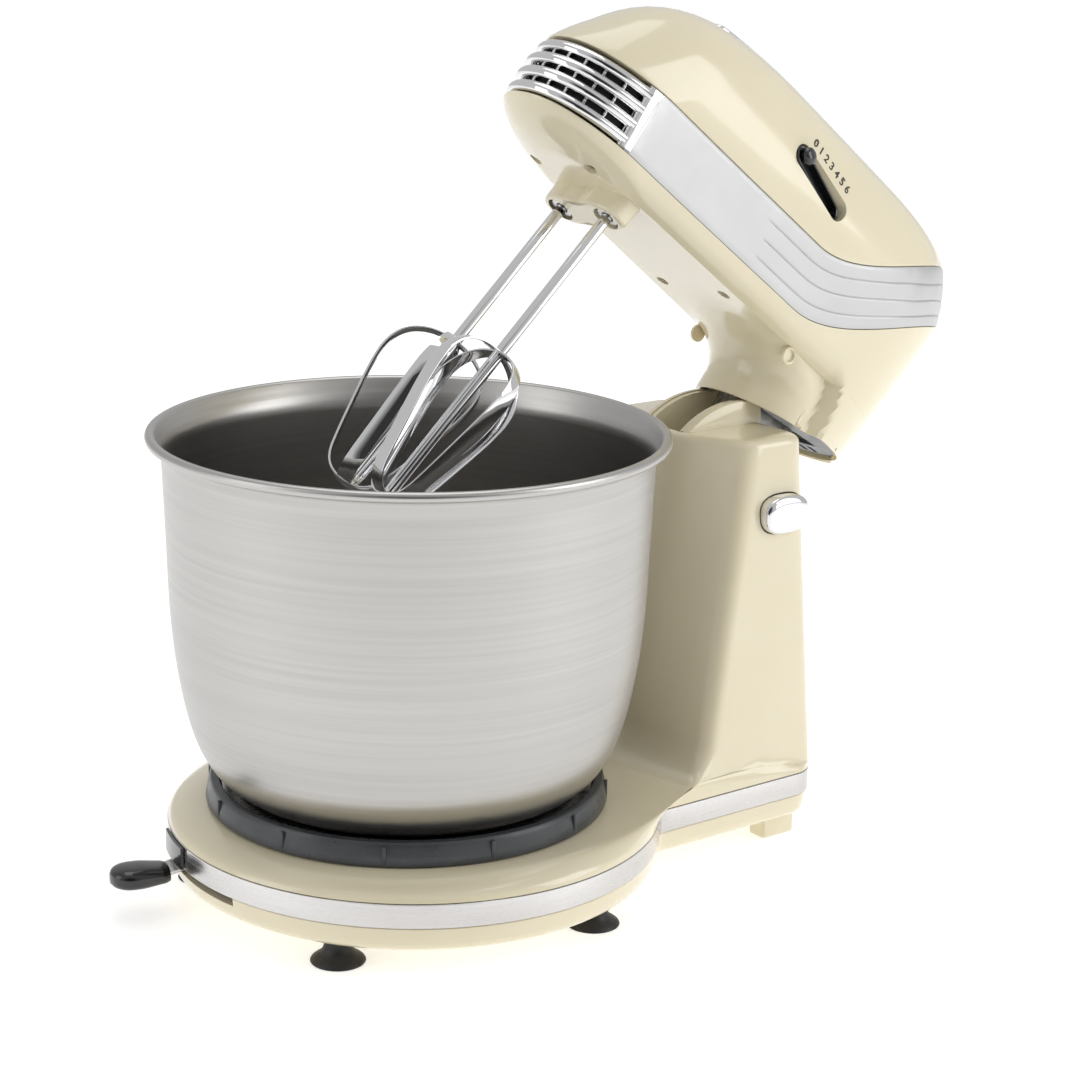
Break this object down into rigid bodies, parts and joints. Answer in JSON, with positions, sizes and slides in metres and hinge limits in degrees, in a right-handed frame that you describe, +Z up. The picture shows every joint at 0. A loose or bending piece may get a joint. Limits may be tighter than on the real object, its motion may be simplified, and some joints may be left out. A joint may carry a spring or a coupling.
{
  "type": "stand mixer",
  "caption": "Tilt-head stand mixer with a lift-out steel bowl on a swinging seat, wire beaters, a sliding speed switch and a side release button.",
  "frame": {"origin": "under the middle of the bounding box, on the worktop, with the head tilted open", "axes": "+X from the bowl towards the column, +Y to the mixer's left when seen from the column, +Z up"},
  "size_m": [0.4106, 0.2114, 0.3583],
  "materials": {
    "black_plastic": "glossy",
    "black_rubber": "matte",
    "board_green": "solder mask",
    "brass": "plain",
    "brushed_steel": "brushed",
    "chrome": "polished",
    "cream_plastic": "glossy moulded",
    "dark_grey_plastic": "semi gloss",
    "silver_plastic": "silver paint",
    "white_nylon": "moulded"
  },
  "bodies": {
    "base": {"column_shell": "cream_plastic", "base_bottom_shell": "cream_plastic", "base_band": "silver_plastic", "suction_foot_front_right": "black_rubber", "suction_foot_front_left": "black_rubber", "suction_foot_middle_right": "black_rubber", "suction_foot_middle_left": "black_rubber", "base_screw_1": "brushed_steel", "base_screw_2": "brushed_steel", "base_screw_3": "brushed_steel", "base_screw_4": "brushed_steel", "lever_escutcheon": "black_plastic", "hinge_cradle": "cream_plastic", "hinge_pin": "brushed_steel", "hinge_bush_right": "white_nylon", "hinge_bush_left": "white_nylon"},
    "shift_lever": {"turntable_hub": "dark_grey_plastic", "lever_strap": "brushed_steel", "lever_knob": "black_plastic", "lever_screw": "brushed_steel"},
    "seat_ring": {"seat_ring": "dark_grey_plastic"},
    "bowl": {"bowl": "brushed_steel", "bowl_foot_ring": "brushed_steel"},
    "release": {"release_button": "chrome", "release_stem": "white_nylon", "locking_bar": "brushed_steel"},
    "head": {"head_upper_shell": "cream_plastic", "head_lower_shell": "cream_plastic", "side_band": "silver_plastic", "nose_grille": "chrome", "grille_backing": "dark_grey_plastic", "speed_recess": "black_plastic", "neck_plate": "dark_grey_plastic", "tilt_arm": "brushed_steel", "cord_gland": "black_rubber", "motor_can": "brushed_steel", "front_bearing": "brass", "rear_bearing": "brass", "brush_holder_right": "brass", "brush_holder_left": "brass", "control_board": "board_green", "gearbox_plate": "white_nylon", "head_screw_front_right": "brushed_steel", "head_screw_front_left": "brushed_steel", "head_screw_rear_right": "brushed_steel", "head_screw_rear_left": "brushed_steel"},
    "motor": {"rotor": "brushed_steel", "motor_shaft": "brushed_steel", "worm": "brushed_steel", "cooling_fan": "white_nylon"},
    "spindle_right": {"spindle_right": "brushed_steel", "worm_wheel_right": "white_nylon"},
    "spindle_left": {"spindle_left": "brushed_steel", "worm_wheel_left": "white_nylon"},
    "beater_right": {"beater_right": "chrome"},
    "beater_left": {"beater_left": "chrome"},
    "speed_knob": {"speed_knob": "black_plastic"},
    "ejector": {"eject_button": "chrome", "eject_rod": "white_nylon"}
  },
  "joints": [
    {"name": "head_tilt", "type": "hinge", "parent": "base", "child": "head", "pos_m": [0.07985, 0, 0.142], "axis": [0, 1, 0], "range_deg": [-38, 0]},
    {"name": "lever_swing", "type": "hinge", "parent": "base", "child": "shift_lever", "pos_m": [-0.08415, 0, 0.02], "axis": [0, 0, 1], "range_deg": [0, 22]},
    {"name": "seat_twist", "type": "hinge", "parent": "shift_lever", "child": "seat_ring", "pos_m": [-0.08415, 0, 0.04], "axis": [0, 0, 1], "range_deg": [0, 18]},
    {"name": "bowl_lift", "type": "slide", "parent": "seat_ring", "child": "bowl", "axis": [0, 0, 1], "range_m": [0, 0.05]},
    {"name": "release_press", "type": "slide", "parent": "base", "child": "release", "axis": [0, 1, 0], "range_m": [0, 0.003], "stiffness_N_per_m": 600, "springref_m": -0.001},
    {"name": "motor_spin", "type": "hinge", "parent": "head", "child": "motor", "pos_m": [0.07715, 0, 0.26848], "axis": [0.788, 0, -0.6157], "continuous": true},
    {"name": "spindle_right_spin", "type": "hinge", "parent": "head", "child": "spindle_right", "pos_m": [0.00214, -0.015, 0.2748], "axis": [0.7266, 0, 0.6871], "continuous": true},
    {"name": "spindle_left_spin", "type": "hinge", "parent": "head", "child": "spindle_left", "pos_m": [0.00214, 0.015, 0.2748], "axis": [0.7266, 0, 0.6871], "continuous": true},
    {"name": "beater_right_pull", "type": "slide", "parent": "spindle_right", "child": "beater_right", "axis": [-0.7266, 0, -0.6871], "range_m": [0, 0.036]},
    {"name": "beater_left_pull", "type": "slide", "parent": "spindle_left", "child": "beater_left", "axis": [-0.7266, 0, -0.6871], "range_m": [0, 0.036]},
    {"name": "speed_slide", "type": "slide", "parent": "head", "child": "speed_knob", "axis": [0.6018, 0, -0.7986], "range_m": [0, 0.029]},
    {"name": "eject_press", "type": "slide", "parent": "head", "child": "ejector", "axis": [-0.6157, 0, -0.788], "range_m": [0, 0.005], "stiffness_N_per_m": 400, "springref_m": -0.001}
  ],
  "couplings": [
    {"joint": "spindle_right_spin", "follows": "motor_spin", "ratio": 0.041667},
    {"joint": "spindle_left_spin", "follows": "motor_spin", "ratio": -0.041667}
  ]
}
